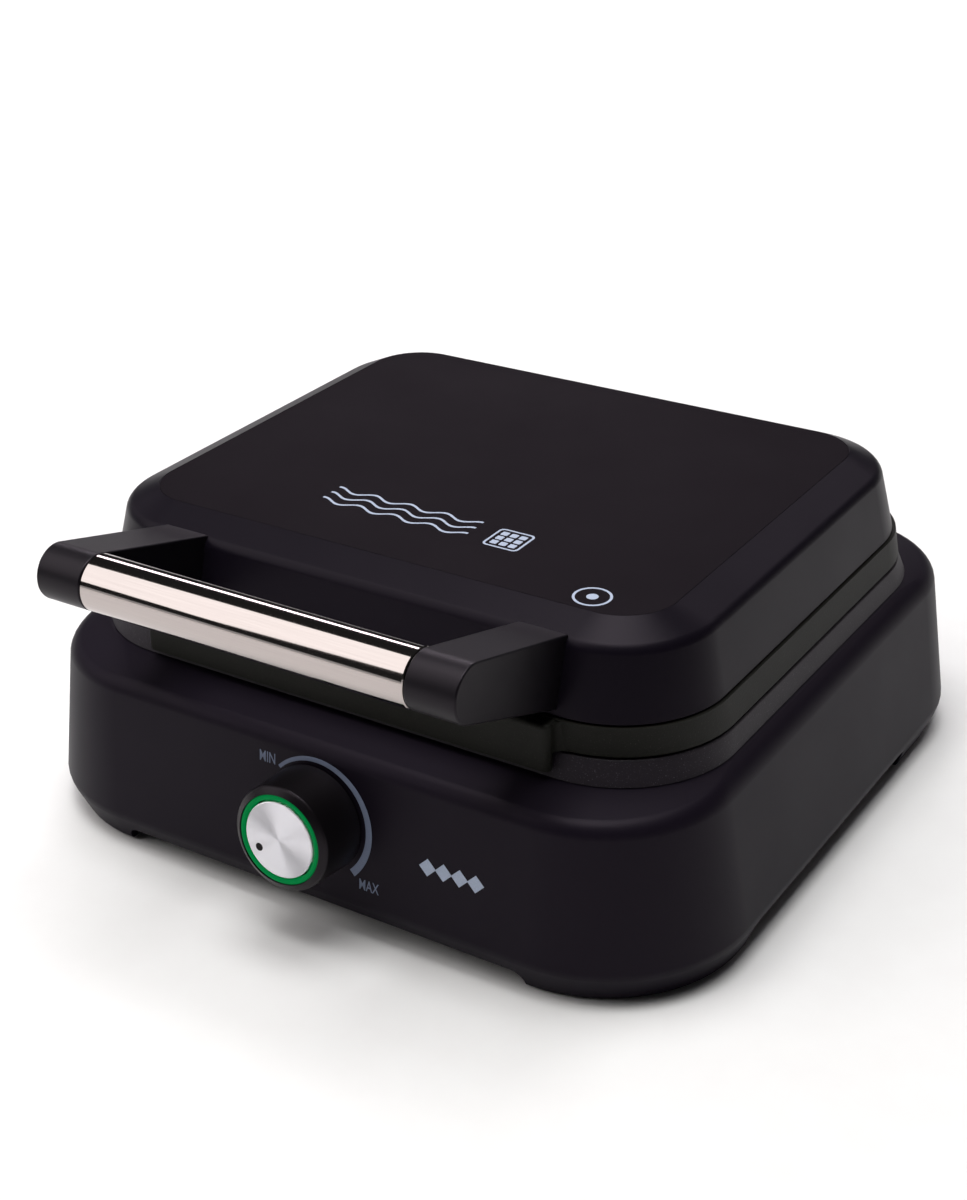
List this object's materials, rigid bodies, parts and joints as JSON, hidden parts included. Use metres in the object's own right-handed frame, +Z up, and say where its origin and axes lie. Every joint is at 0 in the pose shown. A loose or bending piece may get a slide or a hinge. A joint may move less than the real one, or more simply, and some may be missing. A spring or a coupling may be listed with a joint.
{
  "type": "waffle maker",
  "caption": "Rectangular table-top waffle maker: hinged lid with a steel bar handle on two arms, patterned cooking plates, tapered base and a lit round heat knob.",
  "frame": {"origin": "under the middle of the closed appliance's outer box, at the level that the rubber feet stand on", "axes": "+X to the right when facing the knob, +Y towards the hinge at the rear, +Z up"},
  "size_m": [0.28, 0.304, 0.1307],
  "materials": {
    "black_plastic": "satin, fine grain",
    "satin_panel": "matte",
    "coated_plate": "cast texture with non-stick coating",
    "polished_stainless": "polished",
    "spun_aluminium": "radially spun",
    "green_ring": "translucent, lit",
    "zinc_steel": "zinc plated",
    "element_sheath": "heat tinted",
    "rubber": "matte",
    "circuit_board": "lacquered",
    "pale_plastic": "matte"
  },
  "bodies": {
    "base": {"base_housing": "black_plastic", "bottom_cover": "black_plastic", "rubber_feet": "rubber", "base_screws": "zinc_steel", "lower_plate_frame": "coated_plate", "lower_mould_left": "coated_plate", "lower_mould_right": "coated_plate", "lower_plate_screws": "zinc_steel", "lower_heating_element": "element_sheath", "lower_element_clamps": "zinc_steel", "lower_heat_shield": "zinc_steel", "hinge_bracket_left": "black_plastic", "hinge_bracket_right": "black_plastic", "hinge_pin_left": "zinc_steel", "hinge_pin_right": "zinc_steel", "thermostat": "pale_plastic", "thermostat_bracket": "zinc_steel", "thermal_fuse": "zinc_steel", "led_board": "circuit_board", "terminal_block": "pale_plastic", "cord_gland": "rubber"},
    "lid": {"lid_housing": "black_plastic", "lid_top_panel": "satin_panel", "upper_plate_frame": "coated_plate", "upper_mould_left": "coated_plate", "upper_mould_right": "coated_plate", "upper_plate_screws": "zinc_steel", "upper_heating_element": "element_sheath", "upper_element_clamps": "zinc_steel", "upper_heat_shield": "zinc_steel", "lid_hinge_arm_left": "black_plastic", "lid_hinge_arm_right": "black_plastic", "lid_hinge_screws": "zinc_steel", "handle_arm_left": "black_plastic", "handle_arm_right": "black_plastic", "handle_bar": "polished_stainless", "handle_tie_rod": "zinc_steel", "handle_screws": "zinc_steel"},
    "knob": {"knob_body": "black_plastic", "knob_light_ring": "green_ring", "knob_face_disc": "spun_aluminium", "thermostat_shaft": "zinc_steel"}
  },
  "joints": [
    {"name": "lid_hinge", "type": "hinge", "parent": "base", "child": "lid", "pos_m": [0, 0.1324, 0.082], "axis": [-1, 0, 0], "range_deg": [0, 100]},
    {"name": "heat_knob_turn", "type": "hinge", "parent": "base", "child": "knob", "pos_m": [0.0026, -0.12032, 0.0398], "axis": [0, 0.9949, -0.101], "range_deg": [0, 258]}
  ]
}
